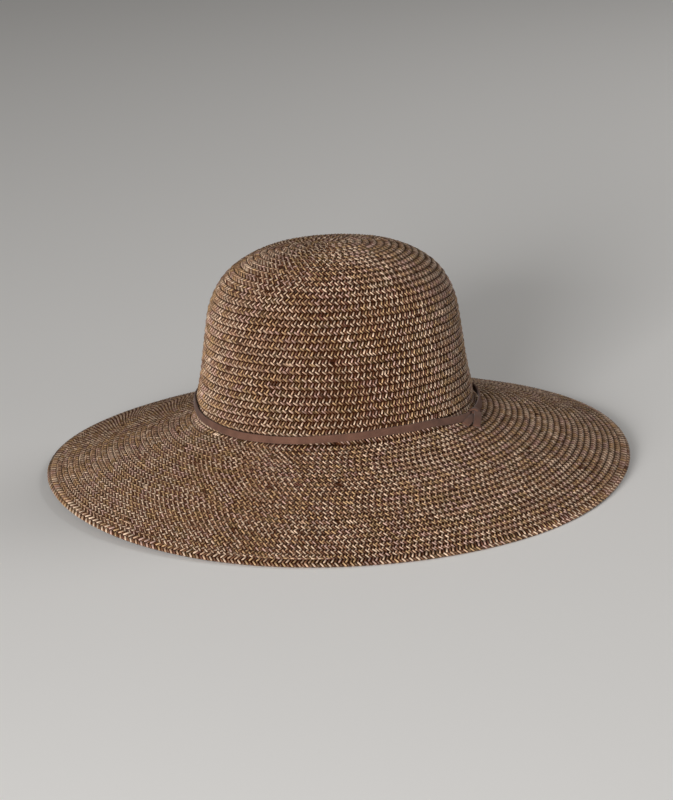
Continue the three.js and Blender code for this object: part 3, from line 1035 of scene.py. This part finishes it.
def lace_frame(way):
    """The lace's middle, with the directions outwards, onwards and upwards there."""
    turn = KNOT_TURN + way
    distance = smooth(LACE_WAY, LACE_HIGH, way) * LACE_RISE
    stand = np.maximum(smooth(LACE_WAY, LACE_OFF, way) * LACE_STAND, 0)
    none = np.zeros_like(turn)
    middle = on_crown(turn, distance, GAP + LACE_THICK_HALF + stand)
    out = unit(on_crown(turn, distance, none + 1) - on_crown(turn, distance, none))
    step = 0.002
    along = unit(on_crown(turn + step, distance, none) - on_crown(turn - step, distance, none))
    return middle, out, along, unit(np.cross(out, along))


LACE_RINGS = 320
ways = np.linspace(KNOT_HALF, 1 - KNOT_HALF, LACE_RINGS)
middles, outs, _, ups = lace_frame(ways)
roll = LACE_ROLL * ease(1 - ways / ROLL_REACH)[:, None]
ups, outs = ups * np.cos(roll) - outs * np.sin(roll), outs * np.cos(roll) + ups * np.sin(roll)
waver = sum(np.sin(ways * pace) * size for pace, size in WAVERS)
lace = sweep_strip("suede_lace", middles + ups * waver[:, None], ups, outs, LACE_HALF, LACE_THICK_HALF)
hand_over(lace, "suede_lace", "hat_lace")

# %% The tails: places forward of the knot, out from the break and up off the brim, in mm
TAILS = {
    "long": {"start": (0.5, 7.2, 4.6), "end": (16.2, 14.0, 1.3)},
    "short": {"start": (1.5, 7.0, 2.4), "end": (18.6, 8.0, 0.1)},
}
TAIL_BULGE = 1.1


def tail(name, start, end):
    """One cut end of the lace, over the brim from its start to its end in a low arch."""
    t = np.linspace(0, 1, 24)[:, None]
    forward, out, up = (np.array(start) * (1 - t) + np.array(end) * t).T
    up = up + TAIL_BULGE * np.sin(np.pi * t[:, 0])
    turn = KNOT_TURN - forward / (2 * np.pi * (crown_radius(np.array(KNOT_TURN)) + out))
    share = out / (brim_width(turn) - EDGE_ROUND)
    middles = on_brim(turn, share, GAP + LACE_THICK_HALF + up)
    normals = unit(on_brim(turn, share, up + 2) - on_brim(turn, share, up))
    sides = unit(np.cross(normals, np.gradient(middles, axis=0)))
    piece = sweep_strip(f"tail_{name}", middles, sides, normals, LACE_HALF, LACE_THICK_HALF)
    hand_over(piece, "suede_lace", f"lace_tail_{name}")


for name, ends in TAILS.items():
    tail(name, **ends)

# %% [markdown]
# The knot is a wrap: one end of the lace goes once round both, and the tails come out of the wrap towards
# the front. It is a strip bent into a loop, with a rounded lump inside where the lace passes through.

# %% The knot
WRAP_OUT = 3.3
WRAP_UP = 2.7
WRAP_HALF = 2.3
WRAP_TILT = math.radians(12)
PINCH, PINCH_TURN = 0.12, 0.6
CORE_SIZE = (2.6, 3.6, 2.1)


def knot():
    """The wrap, a closed loop of lace, and the lump inside it."""
    middle, out, along, up = (v[0] for v in lace_frame(np.zeros(1)))
    across = along * math.cos(WRAP_TILT) + up * math.sin(WRAP_TILT)
    angle = np.linspace(0, 2 * np.pi, 48, endpoint=False)[:, None]
    pinch = 1 - PINCH * np.cos(2 * angle + PINCH_TURN)
    ring = middle + (out * np.cos(angle) * WRAP_OUT + up * np.sin(angle) * WRAP_UP) * pinch
    normals = unit(out * np.cos(angle) * WRAP_UP + up * np.sin(angle) * WRAP_OUT)
    sides = unit(across - normals * (normals @ across)[:, None])
    wrap = sweep_strip("knot_wrap", ring, sides, normals, WRAP_HALF, LACE_THICK_HALF, loop=True)
    hand_over(wrap, "suede_lace", "lace_knot")

    bpy.ops.object.select_all(action="DESELECT")
    bpy.ops.mesh.primitive_uv_sphere_add(segments=24, ring_count=16, radius=1)
    core = bpy.context.object
    core.name = "knot_core"
    turn_in = Matrix(np.stack([out, along, up], 1).tolist()).to_4x4()
    grow = Matrix.Diagonal((*(size * MM for size in CORE_SIZE), 1))
    core.data.transform(Matrix.Translation(Vector(middle) * MM) @ turn_in @ grow)
    core.data.materials.append(suede)
    bpy.ops.object.shade_smooth()
    core.select_set(False)
    hand_over(core, "suede_lace")


knot()
